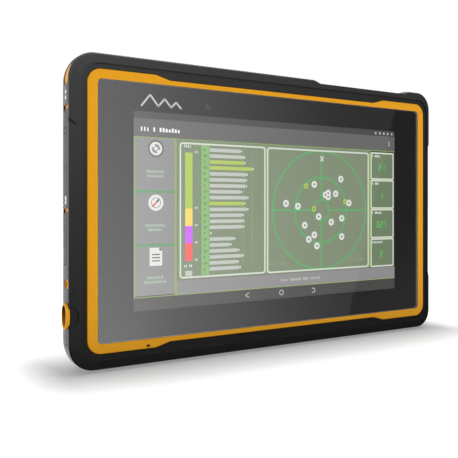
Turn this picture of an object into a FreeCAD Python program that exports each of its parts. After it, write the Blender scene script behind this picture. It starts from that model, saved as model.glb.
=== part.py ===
import FreeCAD, Part
import math
import os

# Rugged seven-inch data collector, a tablet for surveying, in millimetres.
#
# While a piece is modelled, x runs to the right as the screen is looked at, y is the depth behind
# the frontmost plane, and z is the height above the middle of the screen. save() then moves every
# piece into the part's own frame: y = 0 at mid thickness, z = 0 on the bottom face, +Z up.

V = FreeCAD.Vector

# Overall size
THICKNESS = 17.9
HALF_HEIGHT = 67.9
SIDE_LEFT = 106.45
SIDE_RIGHT = 106.9
PART_LINE = 7.9
CLEAR = 0.05

# Outer skin, front to back: depth, left, right, half height, left and right corner radius
FRONT_SKIN = [
    (0.1, 100.8, 101.8, 62.6, 6.8, 7.4),
    (0.5, 105.3, 102.8, 66.0, 10.4, 8.6),
    (0.9, 106.1, 103.8, 66.5, 11.0, 9.2),
    (2.3, 106.3, 105.4, 66.8, 12.0, 10.0),
    (4.2, SIDE_LEFT, 106.5, 67.2, 12.8, 10.5),
    (PART_LINE - 0.1, SIDE_LEFT, SIDE_RIGHT, 67.8, 14.2, 11.0),
]
REAR_SKIN = [
    (PART_LINE + 0.1, 106.35, SIDE_RIGHT, HALF_HEIGHT + 0.2, 14.4, 11.1),
    (12.0, 105.05, 106.2, HALF_HEIGHT + 0.1, 14.6, 11.5),
    (16.2, 103.1, 104.4, 66.2, 14.0, 11.5),
    (THICKNESS, 101.1, 102.4, 64.2, 12.8, 11.0),
]

# Step-downs in the outline: the key zone on the top edge and the middle of the right side
KEY_ZONE_X = (24.2, 84.2)
KEY_ZONE_HEIGHT = 64.9
KEY_ZONE_SLOPE = math.tan(math.radians(22))
RIGHT_WAIST_X = 104.7
RIGHT_WAIST_HALF = 34.6
RIGHT_WAIST_STEP = 0.65

# Screen stack
SCREEN = (155.0, 87.2)
GLASS = (93.95, 55.7)
GLASS_RADIUS = 2.0
GLASS_DEPTH = (0.3, 1.4)
LCD_HALF = (80.0, 45.2)
LCD_DEPTH = (1.95, 2.8)
BACKLIGHT_DEPTH = (2.82, 3.7)
FRONT_CAMERA = (-40.8, 48.0)
MICROPHONE = (-71.2, -58.7)

# Coloured trim ring round the glass, narrower along the middle of the top and bottom
TRIM_HALF = (98.35, 59.85)
TRIM_RADIUS = 6.0
TRIM_DEPTH = (0.0, 2.4)
TRIM_NARROW_Z = 57.95
TRIM_NARROW_X = 60.6
TRIM_WIDE_X = 67.5
TRIM_GAP = 0.3
TRIM_RECESS = (100.1, 101.4, 62.2, 7.9)
TRIM_RECESS_DEPTH = 0.65

# Midframe and the housing wall around it
MIDFRAME = (101.0, 102.0, 62.9, 10.2)
MIDFRAME_DEPTH = (2.5, 6.3)
MIDFRAME_FLOOR = (3.75, 5.0)
WALL_OUTER = (103.2, 103.7, 64.3, 11.8)
WALL_INNER = (101.2, 102.3, 63.1, 10.4)
WALL_TOP = 2.7
BACK_WALL = 1.8

# Boards
BOARD_DEPTH = (7.0, 8.2)
MAINBOARD = (-88.0, 89.0, -38.5, 51.5)
IO_BOARD = (-98.5, -90.0, -21.0, 42.0)
BOARD_SCREWS = [(-84, 47), (0, 47), (84, 47), (-84, -34), (0, -34), (84, -34), (-93.5, 39), (-93.5, -11)]
HOUSING_SCREWS = [
    (-92, 55), (92, 55), (-92, -55), (92, -55), (-40, 57.5), (15, 57.5), (-40, -57.5), (40, -57.5),
]

# Battery bay on the back
BAY_Z = -8.0
BAY_LOWER = (64.5, 32.5)
BAY_UPPER = (65.4, 33.4)
BAY_FLOOR = (10.2, 11.2)
BAY_LEDGE = 14.5
BATTERY_TRAY = (64.2, 32.2)
BATTERY_LID = (65.1, 33.1)
BATTERY_SPLIT = 15.6
LATCH_TRAVEL = 3.0
LATCH_BOLT = (5.0, 25.6, 31.0)
LATCH_KNOB = (8.0, 31.0, 37.5)

# Port covers on the left side: height range of each, and the hinge pin behind them
COVER_UPPER = (2.6, 43.4)
COVER_LOWER = (-22.0, 0.8)
COVER_DEPTH = (3.4, 11.2)
COVER_INNER_X = -104.1
FINGER_SCOOP = [(-110, 41.8), (-110, 37.2), (-102.9, 35.8)]
LOWER_SCOOP = [(-110, -38.5), (-110, -34.5), (-103.5, -33.2)]
COVER_MARKS = [34.8, 32.6, 19.0, 16.8, -4.0, -6.0, -8.0, -12.0, -14.0]
NOTCH_DEPTH = (5.2, 9.8)
TAB_X = (-106.1, -104.0)
TAB_DEPTH = (1.2, 5.2)
TAB_RISE = (-0.9, 0.5)
TAB_SWING = 0.5
POCKET_DEPTH = (3.2, 13.4)
POCKET_FLOOR_X = -103.1
HINGE_X = -103.95
HINGE_DEPTH = 12.0
HINGE_PIN_R = 0.45
HINGE_BORE_R = 0.5
KNUCKLE_R = 0.8

# Connectors behind the covers: height, half width
USB = (33.0, 4.6)
HDMI = (17.0, 5.9)
AUDIO = (-5.5, 3.1)
POWER = (-16.0, 3.6)
PORT_DEPTH = (8.25, 11.6)
PORT_FACE_X = -103.0

# Stylus, its oval cap and its tube
STYLUS_Z = -43.3
STYLUS_DEPTH = 5.6
STYLUS_CAP_X = (-107.3, -105.75, -102.3)
STYLUS_CAP_HALF = 5.5
STYLUS_CAP_DEPTH = (0.3, 7.2)
STYLUS_NECK_DEPTH = (1.2, 7.05)
STYLUS_R = 1.55
STYLUS_DISH_R = 4.6
STYLUS_TIP_X = (-9.0, -1.0)
TUBE_BORE_R = 1.63
TUBE_R = 1.85
TETHER_Z = -30.0
TETHER_DEPTH = 3.4
TETHER_R = 2.1
TETHER_BORE_R = 1.45

# Keys on the top edge
KEYS = {
    "power_button": 38.5,
    "volume_down_button": 48.5,
    "volume_up_button": 56.5,
    "function_button_left": 67.0,
    "function_button_right": 76.5,
}
KEY_HALF = (3.4, 1.7)
KEY_DEPTH = 10.0
KEY_TRAVEL = 0.6
KEY_PROUD = 0.8

# Back-face parts
REAR_CAMERA = (52.0, 47.0)
FLASH = (38.0, 47.0)
SPEAKER = (58.0, -50.0)
DOCK = (0.0, -53.0)
STRAP_INSERT = (82.0, 44.0)
INSERT_R = 3.0
INSERT_THREAD_R = 1.65


def save(name, shape):
    """Moves a piece into the part's frame and writes it as its own STEP file."""
    placed = shape.copy()
    placed.translate(V(0, -THICKNESS / 2, HALF_HEIGHT))
    placed.exportStep("parts/" + name + ".step")


def block(x0, x1, z0, z1, d0, d1):
    return Part.makeBox(x1 - x0, d1 - d0, z1 - z0, V(x0, d0, z0))


def peg(x, z, radius, d0, d1):
    """A round solid along the depth."""
    return Part.makeCylinder(radius, d1 - d0, V(x, d0, z), V(0, 1, 0))


def rod_x(z, depth, radius, x0, x1):
    """A round solid from side to side."""
    return Part.makeCylinder(radius, x1 - x0, V(x0, depth, z), V(1, 0, 0))


def rod_z(x, depth, radius, z0, z1):
    """An upright round solid."""
    return Part.makeCylinder(radius, z1 - z0, V(x, depth, z0), V(0, 0, 1))


def rounded_wire(left, right, low, high, radius, depth, right_radius=None):
    """A rectangle with round corners, in the plane at this depth."""
    corners = [(right, high, 0), (left, high, 90), (left, low, 180), (right, low, 270)]
    edges = []
    last = None
    first = None
    for x, z, start in corners:
        r = right_radius if right_radius and x == right else radius
        cx = x - r if x == right else x + r
        cz = z - r if z == high else z + r
        points = []
        for angle in (start, start + 45, start + 90):
            turn = math.radians(angle)
            points.append(V(cx + r * math.cos(turn), depth, cz + r * math.sin(turn)))
        if last is None:
            first = points[0]
        else:
            edges.append(Part.makeLine(last, points[0]))
        edges.append(Part.Arc(*points).toShape())
        last = points[2]
    edges.append(Part.makeLine(last, first))
    return Part.Wire(edges)


def prism(wire, d0, d1):
    """Fills a wire drawn at depth d0 and carries it back to d1."""
    return Part.Face(wire).extrude(V(0, d1 - d0, 0))


def plate(left, right, low, high, radius, d0, d1):
    return prism(rounded_wire(left, right, low, high, radius, d0), d0, d1)


def centred_plate(half_x, half_z, radius, d0, d1, z=0.0):
    return plate(-half_x, half_x, z - half_z, z + half_z, radius, d0, d1)


def shell_plate(sizes, d0, d1, grow=0.0):
    """A plate from a (left, right, half height, radius) tuple, grown all round."""
    left, right, half, radius = sizes
    return plate(-left - grow, right + grow, -half - grow, half + grow, radius + grow, d0, d1)


def skin(sections, grow=0.0):
    """The outer body through a list of skin sections, grown or shrunk all round."""
    wires = []
    for depth, left, right, half, radius, right_radius in sections:
        x0, x1, z = -left - grow, right + grow, half + grow
        wires.append(rounded_wire(x0, x1, -z, z, radius + grow, depth, right_radius + grow))
    return Part.makeLoft(wires, True, True)


def rear_skin(sections, grow=0.0):
    """The rear of the outer body, cut off flat along its top and bottom."""
    half = HALF_HEIGHT + grow
    return skin(sections, grow).common(block(-130, 130, -half, half, 0, THICKNESS))


def polygon(points, d0, d1):
    """An outline of (x, z) points carried from depth d0 to d1."""
    corners = [V(x, d0, z) for x, z in points]
    wire = Part.makePolygon(corners + corners[:1])
    return prism(wire, d0, d1)


def outline_steps():
    """The solids cut from the whole outline: the key zone and the waist of the right side."""
    above = HALF_HEIGHT + 4.0
    run = (above - KEY_ZONE_HEIGHT) / KEY_ZONE_SLOPE
    x0, x1 = KEY_ZONE_X
    keys = [(x0, KEY_ZONE_HEIGHT), (x1, KEY_ZONE_HEIGHT), (x1 + run, above), (x0 - run, above)]
    out = SIDE_RIGHT + 4.0
    flare = RIGHT_WAIST_HALF + out - RIGHT_WAIST_X
    waist = [
        (RIGHT_WAIST_X, -RIGHT_WAIST_HALF),
        (out, -flare),
        (out, flare),
        (RIGHT_WAIST_X, RIGHT_WAIST_HALF),
    ]
    steps = [polygon(keys, -1, THICKNESS + 1), polygon(waist, -1, THICKNESS + 1)]
    return steps + [front_waist()]


def front_waist():
    """The thin layer taken off the front edge of the right side, along its waist."""
    inside = RIGHT_WAIST_X - 6.0
    out = SIDE_RIGHT + 2.0
    flare = RIGHT_WAIST_HALF + out - inside
    start = RIGHT_WAIST_HALF + 2.0 - (RIGHT_WAIST_X - inside)
    zone = polygon([(inside, -start), (out, -flare), (out, flare), (inside, start)], -1, 4.0)
    kept = []
    for depth, left, right, half, *radii in FRONT_SKIN:
        kept.append((depth, left + 5, right - RIGHT_WAIST_STEP, half + 5, *radii))
    return zone.cut(skin([(-2.0, *kept[0][1:])] + kept))


def trim_wire(grow, depth):
    """The outline of the trim ring: round corners, stepped in along the top and bottom middle."""
    half_x = TRIM_HALF[0] + grow
    half_z = TRIM_HALF[1] + grow
    radius = TRIM_RADIUS + grow
    narrow = TRIM_NARROW_Z + grow
    edges = []
    last = None
    first = None
    for quarter in range(4):
        start = 90 * quarter
        side_x = 1 if quarter in (0, 3) else -1
        side_z = 1 if quarter in (0, 1) else -1
        cx = side_x * (half_x - radius)
        cz = side_z * (half_z - radius)
        arc = []
        for angle in (start, start + 45, start + 90):
            turn = math.radians(angle)
            arc.append(V(cx + radius * math.cos(turn), depth, cz + radius * math.sin(turn)))
        if last is None:
            first = arc[0]
        else:
            edges.append(Part.makeLine(last, arc[0]))
        edges.append(Part.Arc(*arc).toShape())
        last = arc[2]
        if quarter in (0, 2):
            step = [
                V(side_x * TRIM_WIDE_X, depth, side_z * half_z),
                V(side_x * TRIM_NARROW_X, depth, side_z * narrow),
                V(-side_x * TRIM_NARROW_X, depth, side_z * narrow),
                V(-side_x * TRIM_WIDE_X, depth, side_z * half_z),
            ]
            for point in step:
                edges.append(Part.makeLine(last, point))
                last = point
    edges.append(Part.makeLine(last, first))
    return Part.Wire(edges)


def port_pockets():
    """The two pockets in the left side that the port covers close."""
    pockets = []
    for low, high in (COVER_UPPER, COVER_LOWER):
        pockets.append(block(-SIDE_LEFT - 5, POCKET_FLOOR_X, low - 0.2, high + 0.2, *POCKET_DEPTH))
        pockets.append(pull_tab(high, CLEAR, 5.0, TAB_SWING))
    return pockets


def pull_tab(top, grow, out=0.0, swing=0.0):
    """The tab above a port cover's top end, or the room it sits in and swings out of."""
    x0, x1 = TAB_X
    d0, d1 = TAB_DEPTH
    z0, z1 = TAB_RISE
    back = d1 + grow + swing
    return block(x0 - grow - out, x1 + grow, top + z0 - grow, top + z1 + grow, d0 - grow, back)


def oval_x(half, x0, x1, d0, d1):
    """A solid from side to side, with an upright elliptic section at the height of the stylus."""
    mid = (d0 + d1) / 2
    centre = V(x0, mid, STYLUS_Z)
    ellipse = Part.Ellipse(V(x0, mid, STYLUS_Z + half), V(x0, d1, STYLUS_Z), centre)
    return Part.Face(Part.Wire(ellipse.toShape())).extrude(V(x1 - x0, 0, 0))


def stylus_cap_solid(grow, out=0.0):
    """The stylus cap without its hollow: an oval rim and a narrower neck behind it."""
    x0, x1, x2 = STYLUS_CAP_X
    d0, d1 = STYLUS_CAP_DEPTH
    half = STYLUS_CAP_HALF + grow
    rim = oval_x(half, x0 - out, x1 + grow, d0 - grow, d1 + grow)
    n0, n1 = STYLUS_NECK_DEPTH
    neck = oval_x(half - 0.4, x1 - 0.5, x2 + grow, n0 - grow, n1 + grow)
    return rim.fuse(neck)


def stylus_hole():
    x0 = STYLUS_CAP_X[2] - 1.5
    tube = rod_x(STYLUS_Z, STYLUS_DEPTH, TUBE_R + CLEAR, x0, STYLUS_TIP_X[1] + 4)
    return [stylus_cap_solid(0.15, 5.0), tube]


def accent_band(grow, inset_out, inset_in):
    """A strip of the top left corner's side, between two insets from the skin."""
    depth0 = 1.9 - grow
    depth1 = 6.6 + grow
    section = (SIDE_LEFT, SIDE_RIGHT, 67.2, 13.1)
    band = shell_plate(section, depth0, depth1, -inset_out)
    band = band.cut(shell_plate(section, depth0 - 1, depth1 + 1, -inset_in))
    radius = (depth1 - depth0) / 2
    low = 52.5 - grow + radius
    strip = block(-SIDE_LEFT - 5, -95.5 + grow, low, HALF_HEIGHT + 5, depth0, depth1)
    return band.common(strip.fuse(rod_x(low, depth0 + radius, radius, -SIDE_LEFT - 5, -95.5 + grow)))


# ---- front -------------------------------------------------------------------------------------


def cover_glass():
    return centred_plate(*GLASS, GLASS_RADIUS, *GLASS_DEPTH)


def glass_border():
    """The printed black mask behind the glass, open over the screen and the camera."""
    d0 = GLASS_DEPTH[1]
    d1 = d0 + 0.08
    mask = centred_plate(GLASS[0] - 0.1, GLASS[1] - 0.1, GLASS_RADIUS, d0, d1)
    mask = mask.cut(block(-SCREEN[0] / 2, SCREEN[0] / 2, -SCREEN[1] / 2, SCREEN[1] / 2, d0 - 1, d1 + 1))
    return mask.cut(peg(*FRONT_CAMERA, 1.4, d0 - 1, d1 + 1))


def touch_sensor():
    d1 = LCD_DEPTH[0] - 0.02
    return centred_plate(LCD_HALF[0] - 1, LCD_HALF[1] - 0.5, 1.0, d1 - 0.18, d1)


def glass_adhesive():
    d0 = GLASS_DEPTH[1] + 0.1
    ring = centred_plate(GLASS[0] - 0.8, GLASS[1] - 0.8, 1.5, d0, LCD_DEPTH[0] - 0.05)
    return ring.cut(centred_plate(GLASS[0] - 4.4, GLASS[1] - 4.4, 1.0, d0 - 1, LCD_DEPTH[0] + 1))


def lcd_panel():
    return centred_plate(*LCD_HALF, 0.5, *LCD_DEPTH)


def backlight():
    """The backlight with its thin rim and the tail tab that the cable joins."""
    d0, d1 = BACKLIGHT_DEPTH
    body = centred_plate(*LCD_HALF, 0.8, d0, d1)
    return body.cut(centred_plate(LCD_HALF[0] - 1.5, LCD_HALF[1] - 1.5, 0.5, d0 - 1, d0 + 0.15))


def front_camera():
    x, z = FRONT_CAMERA
    barrel = peg(x, z, 2.2, 1.6, 3.5)
    base = block(x - 4, x + 4, z - 2.5, z + 2.5, 3.4, 5.0)
    return barrel.fuse(base).cut(peg(x, z, 1.1, 1.5, 2.0))


def trim_ring():
    d0, d1 = TRIM_DEPTH
    ring = prism(trim_wire(0.0, d0), d0, d1)
    front = [edge for edge in ring.Edges if edge.BoundBox.YMax < d0 + 0.01]
    ring = ring.makeChamfer(0.3, front)
    ring = ring.cut(centred_plate(GLASS[0] + 0.1, GLASS[1] + 0.1, GLASS_RADIUS + 0.1, d0 - 1, d1 + 1))
    x, z = MICROPHONE
    return ring.cut(plate(x - 0.95, x + 0.95, z - 0.6, z + 0.6, 0.5, d0 - 1, d1 + 1))


def microphone():
    x, z = MICROPHONE
    can = block(x - 1.9, x + 1.9, z - 1.4, z + 1.4, 2.55, 3.6)
    return can.cut(peg(x, z, 0.3, 2.4, 2.8))


def front_bumper():
    """The soft frame: front band with its recess round the trim, side walls and their openings."""
    body = skin(FRONT_SKIN)
    inside = MIDFRAME_DEPTH[0] - CLEAR
    cuts = [
        prism(trim_wire(TRIM_GAP, -1), -1, inside + 1),
        shell_plate(TRIM_RECESS, -1, TRIM_RECESS_DEPTH),
        shell_plate(WALL_OUTER, inside, PART_LINE + 1, CLEAR),
        accent_band(CLEAR, -4.0, 1.9 + CLEAR),
        rod_x(TETHER_Z, TETHER_DEPTH, TETHER_R + CLEAR, -SIDE_LEFT - 5, -104.5),
        polygon(FINGER_SCOOP, -1, 1.2),
        polygon(LOWER_SCOOP, -1, 0.85),
        peg(-SIDE_LEFT, STYLUS_Z, STYLUS_DISH_R, -1, 0.85),
    ]
    return body.cut(cuts + outline_steps() + port_pockets() + stylus_hole())


def corner_accent():
    """The coloured strip in its groove round the top left corner."""
    return accent_band(0.0, 0.35, 1.9)


def tether_eyelet():
    ring = rod_x(TETHER_Z, TETHER_DEPTH, TETHER_R, -SIDE_LEFT + 0.3, -104.55)
    return ring.cut(rod_x(TETHER_Z, TETHER_DEPTH, TETHER_BORE_R, -SIDE_LEFT - 1, -105.0))


# ---- chassis -----------------------------------------------------------------------------------


def midframe():
    """Cast frame: a lip under the glass, a pocket for the screen, and bosses for the boards."""
    d0, d1 = MIDFRAME_DEPTH
    floor0, floor1 = MIDFRAME_FLOOR
    frame = shell_plate(MIDFRAME, d0, d1)
    lip = centred_plate(GLASS[0] - 0.3, GLASS[1] - 0.3, 1.8, LCD_DEPTH[0], d0 + 0.1)
    frame = frame.fuse(lip)
    cuts = [
        centred_plate(GLASS[0] - 5.5, GLASS[1] - 5.5, 1.0, 0, d0),
        centred_plate(LCD_HALF[0] + 0.4, LCD_HALF[1] + 0.4, 1.0, 0, floor0),
        plate(-86, 87, -39.5, 52.5, 4.0, floor1, d1 + 1),
        block(FRONT_CAMERA[0] - 4.3, FRONT_CAMERA[0] + 4.3, 45.3, 50.8, 0, d1 + 1),
        block(MICROPHONE[0] - 2.1, MICROPHONE[0] + 2.1, -60.3, -57.1, 0, 3.7),
        block(-110, STYLUS_TIP_X[1] + 4, STYLUS_Z - 2.0, STYLUS_Z + 2.0, floor0 - 0.1, d1 + 1.2),
    ]
    frame = frame.cut(cuts)
    bosses = [peg(x, z, 2.6, floor1 - 0.1, BOARD_DEPTH[0] - CLEAR) for x, z in BOARD_SCREWS]
    frame = frame.fuse(bosses)
    groove = shell_plate(MIDFRAME, 2.85, 3.75, 1.0).cut(shell_plate(MIDFRAME, 0, 9, -0.85))
    holes = [peg(x, z, 1.05, floor1 + 0.4, d1 + 3) for x, z in BOARD_SCREWS]
    holes += [peg(x, z, 1.5, 3.4, d1 + 1) for x, z in HOUSING_SCREWS]
    return frame.cut([groove] + holes)


def housing_gasket():
    ring = shell_plate(WALL_INNER, 2.9, 3.7, -CLEAR)
    return ring.cut(shell_plate(MIDFRAME, 0, 9, -0.8))


def corner_zone(side_x, side_z, grow):
    """The corner of the back that a soft corner piece covers."""
    points = [(115, 53), (101, 53), (90, 61.5), (90, 75), (115, 75)]
    return polygon([(side_x * (x + grow), side_z * (z + grow)) for x, z in points], 0, 25)


def corner_shells(grow):
    """The four corner pieces of the outer skin at the back, 1.5 mm thick."""
    shell = rear_skin(REAR_SKIN, max(grow, 0))
    inner = [(min(section[0], THICKNESS - 1.5),) + section[1:] for section in REAR_SKIN]
    inner[0] = (REAR_SKIN[0][0] - 1,) + REAR_SKIN[0][1:]
    shell = shell.cut(rear_skin(inner, -1.5 - grow))
    corners = []
    for side_x in (-1, 1):
        for side_z in (-1, 1):
            corners.append(shell.common(corner_zone(side_x, side_z, -grow)).cut(outline_steps()))
    return corners


def rear_corner_bumpers():
    return Part.makeCompound(corner_shells(0.0))


def rear_housing():
    """The back shell with its inner wall, battery bay, bosses and openings."""
    back = THICKNESS
    body = rear_skin(REAR_SKIN)
    body = body.fuse(shell_plate(WALL_OUTER, WALL_TOP, PART_LINE + 0.2))
    cavity = [
        shell_plate(WALL_INNER, WALL_TOP - 1, 12.0),
        Part.makeLoft(
            [
                rounded_wire(-101.2, 102.3, -63.1, 63.1, 10.4, 11.9),
                rounded_wire(-100.4, 101.4, -62.6, 62.6, 10.4, back - BACK_WALL),
            ],
            True,
            True,
        ),
    ]
    body = body.cut(cavity)

    ledge = shell_plate(WALL_INNER, 6.35, 7.3, 0.5).cut(shell_plate(WALL_INNER, 0, 9, -2.2))
    tub = centred_plate(67.0, 35.0, 5.0, BAY_FLOOR[0], back - 0.5, BAY_Z)
    adds = [ledge, tub, block(-14, 14, 26, 41, 14.2, back - 0.5)]
    for x, z in HOUSING_SCREWS:
        adds.append(peg(x, z, 3.2, MIDFRAME_DEPTH[1] + CLEAR, back - 0.5))
    for side_x in (-1, 1):
        for side_z in (-1, 1):
            adds.append(peg(side_x * STRAP_INSERT[0], side_z * STRAP_INSERT[1], 4.6, 11.8, back - 0.5))
    body = body.fuse(adds)

    cuts = [
        centred_plate(*BAY_LOWER, 3.5, BAY_FLOOR[1], back + 1, BAY_Z),
        centred_plate(*BAY_UPPER, 4.0, BAY_LEDGE, back + 1, BAY_Z),
        block(-57.3, -42.7, 17.7, 22.3, 9, 12),
        block(-LATCH_KNOB[0] - 0.2, LATCH_KNOB[0] + 0.2, 27.8, LATCH_KNOB[2] + 0.2, 15.9, back + 1),
        block(-LATCH_BOLT[0] - 0.1, LATCH_BOLT[0] + 0.1, 24, 31.5, 15.9, 17.2),
        peg(*REAR_CAMERA, 4.6, 14, back + 1),
        peg(*REAR_CAMERA, 5.65, 16.85, back + 1),
        peg(*FLASH, 2.35, 14, back + 1),
        plate(DOCK[0] - 18.2, DOCK[0] + 18.2, DOCK[1] - 3.7, DOCK[1] + 3.7, 1.5, 13, back + 1),
    ]
    for x, z in HOUSING_SCREWS:
        cuts.append(peg(x, z, 1.7, 5, back + 1))
        cuts.append(peg(x, z, 2.9, back - 2.2, back + 1))
    for side_x in (-1, 1):
        for side_z in (-1, 1):
            x = side_x * STRAP_INSERT[0]
            z = side_z * STRAP_INSERT[1]
            cuts.append(peg(x, z, INSERT_R + 0.02, back - 5.4, back + 1))
        for row in range(7):
            z = BAY_Z - 27 + 9 * row
            x0, x1 = sorted((side_x * 72, side_x * 95))
            cuts.append(plate(x0, x1, z - 1.3, z + 1.3, 1.25, back - 0.8, back + 1))
    for slot in range(6):
        x = SPEAKER[0] - 8.5 + 3.4 * slot
        cuts.append(plate(x - 0.7, x + 0.7, SPEAKER[1] - 4.5, SPEAKER[1] + 4.5, 0.65, 15, back + 1))
    for z, half in (USB, HDMI, AUDIO, POWER):
        cuts.append(block(-104, -100, z - half - 0.15, z + half + 0.15, 8.1, 11.75))
    half_x = KEY_HALF[0] + 0.15
    half_d = KEY_HALF[1] + 0.15
    for x in KEYS.values():
        cuts.append(block(x - half_x, x + half_x, 60, 70, KEY_DEPTH - half_d, KEY_DEPTH + half_d))
    for low, high in (COVER_UPPER, COVER_LOWER):
        cuts.append(rod_z(HINGE_X, HINGE_DEPTH, HINGE_BORE_R, low - 1.9, high + 1.9))
    cuts += outline_steps() + port_pockets() + stylus_hole() + corner_shells(CLEAR)
    return body.cut(cuts)


# ---- electronics -------------------------------------------------------------------------------


def board(extent, radius, screws):
    left, right, low, high = extent
    sheet = plate(left, right, low, high, radius, *BOARD_DEPTH)
    inside = [(x, z) for x, z in screws if left < x < right and low < z < high]
    return sheet.cut([peg(x, z, 1.2, 0, 20) for x, z in inside])


def board_chips():
    top = BOARD_DEPTH[1]
    chips = []
    for x, z, side, height in ((-30, 2, 15, 1.0), (-5, 6, 12, 0.9), (-30, -22, 11, 0.9), (30, 38, 10, 0.9)):
        chips.append(block(x - side / 2, x + side / 2, z - side / 2, z + side / 2, top, top + height))
    for row in range(6):
        chips.append(block(30 + 6 * row, 33 + 6 * row, -14, -10, top, top + 0.8))
    return Part.makeCompound(chips)


def shield_cans():
    """Thin steel cans over the processor and the radio."""
    top = BOARD_DEPTH[1]
    cans = []
    for x0, x1, z0, z1 in ((-42, 4, -31, 14), (21, 38, 31, 45), (26, 68, -18, -6)):
        can = block(x0, x1, z0, z1, top, top + 1.5)
        cans.append(can.cut(block(x0 + 0.2, x1 - 0.2, z0 + 0.2, z1 - 0.2, top - 1, top + 1.3)))
    return Part.makeCompound(cans)


def gnss_antenna():
    """Ceramic patch antenna with its silvered top."""
    base = block(-24, -6, 30, 48, BOARD_DEPTH[1] + CLEAR, 12.2)
    return base.fuse(block(-22.5, -7.5, 31.5, 46.5, 12.1, 12.4))


def wifi_antenna():
    strip = block(-80, -50, 62.1, 62.5, 8.6, 14)
    return strip.fuse(block(-58, -55, 52, 62.3, 8.6, 9.0))


def cellular_antenna():
    strip = block(-30, 30, -62.5, -62.1, 8.6, 14)
    return strip.fuse(block(20, 23, -62.3, -52, 8.6, 9.0))


def speaker():
    x, z = SPEAKER
    box = plate(x - 13, x + 13, z - 6.3, z + 6.3, 1.5, 10.5, 15.7)
    return box.cut(plate(x - 9.5, x + 9.5, z - 4.3, z + 4.3, 3.5, 15.0, 16))


def speaker_mesh():
    x, z = SPEAKER
    return plate(x - 10.5, x + 10.5, z - 5.2, z + 5.2, 1.0, 15.75, 15.95)


def rear_camera():
    x, z = REAR_CAMERA
    module = block(x - 4.4, x + 4.4, z - 4.4, z + 4.4, BOARD_DEPTH[1] + CLEAR, 14.4)
    return module.fuse(peg(x, z, 3.2, 14.3, 16.4)).cut(peg(x, z, 1.6, 15.6, 17))


def rear_camera_window():
    return peg(*REAR_CAMERA, 5.6, 16.9, 17.7)


def flash_lens():
    return peg(*FLASH, 2.3, 15.9, 17.7)


def dock_connector():
    x, z = DOCK
    body = plate(x - 18, x + 18, z - 3.5, z + 3.5, 1.4, 13.4, 17.3)
    return body.cut([peg(px, pz, 0.85, 15.4, 18) for px, pz in dock_positions()])


def dock_positions():
    """Two rows of seven contact pads."""
    return [(DOCK[0] - 13.5 + 4.5 * i, DOCK[1] + row) for i in range(7) for row in (-1.5, 1.5)]


def dock_pins():
    return Part.makeCompound([peg(x, z, 0.8, 15.45, 17.4) for x, z in dock_positions()])


def button_board():
    x0 = KEYS["power_button"] - 5
    x1 = KEYS["function_button_right"] + 5
    return block(x0, x1, 59.6, 60.3, KEY_DEPTH - 2.6, KEY_DEPTH + 2.6)


def button_seal():
    """Rubber sheet with one raised pad under each key."""
    x0 = KEYS["power_button"] - 4.8
    x1 = KEYS["function_button_right"] + 4.8
    sheet = block(x0, x1, 60.35, 60.75, KEY_DEPTH - 2.4, KEY_DEPTH + 2.4)
    pads = [block(x - 1.5, x + 1.5, 60.7, 61.1, KEY_DEPTH - 1, KEY_DEPTH + 1) for x in KEYS.values()]
    return sheet.fuse(pads)


def key(x):
    """A key: a rounded cap through the wall and a flange that keeps it in."""
    half_x, half_d = KEY_HALF
    top = KEY_ZONE_HEIGHT + KEY_PROUD
    cap = block(x - half_x, x + half_x, 62.0, top, KEY_DEPTH - half_d, KEY_DEPTH + half_d)
    upright = [edge for edge in cap.Edges if edge.BoundBox.ZLength > 3]
    cap = cap.makeFillet(1.2, upright)
    rim = [edge for edge in cap.Edges if edge.BoundBox.ZMin > top - 0.01]
    cap = cap.makeFillet(0.35, rim)
    flange = block(x - half_x - 0.5, x + half_x + 0.5, 61.8, 62.7, KEY_DEPTH - 2.2, KEY_DEPTH + 2.2)
    return cap.fuse(flange)


def port_body(port, mouth_z, mouth_d):
    """A rectangular connector with an open mouth and a contact tongue."""
    z, half = port
    d0, d1 = PORT_DEPTH
    mid = (d0 + d1) / 2
    shell = block(PORT_FACE_X, -95.6, z - half, z + half, d0, d1)
    shell = shell.cut(block(-104, -97.5, z - mouth_z, z + mouth_z, mid - mouth_d, mid + mouth_d))
    return shell.fuse(block(-102.2, -97, z - mouth_z + 0.8, z + mouth_z - 0.8, mid - 0.35, mid + 0.35))


def round_port(port, bore, pin):
    """A round jack, with a centre pin where it has one."""
    z, half = port
    d0, d1 = PORT_DEPTH
    mid = (d0 + d1) / 2
    jack = block(PORT_FACE_X, -95.6, z - half, z + half, d0, d1)
    jack = jack.cut(rod_x(z, mid, bore, -104, -97))
    if pin:
        jack = jack.fuse(rod_x(z, mid, pin, -102.4, -96.8))
    return jack


# ---- port covers -------------------------------------------------------------------------------


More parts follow.
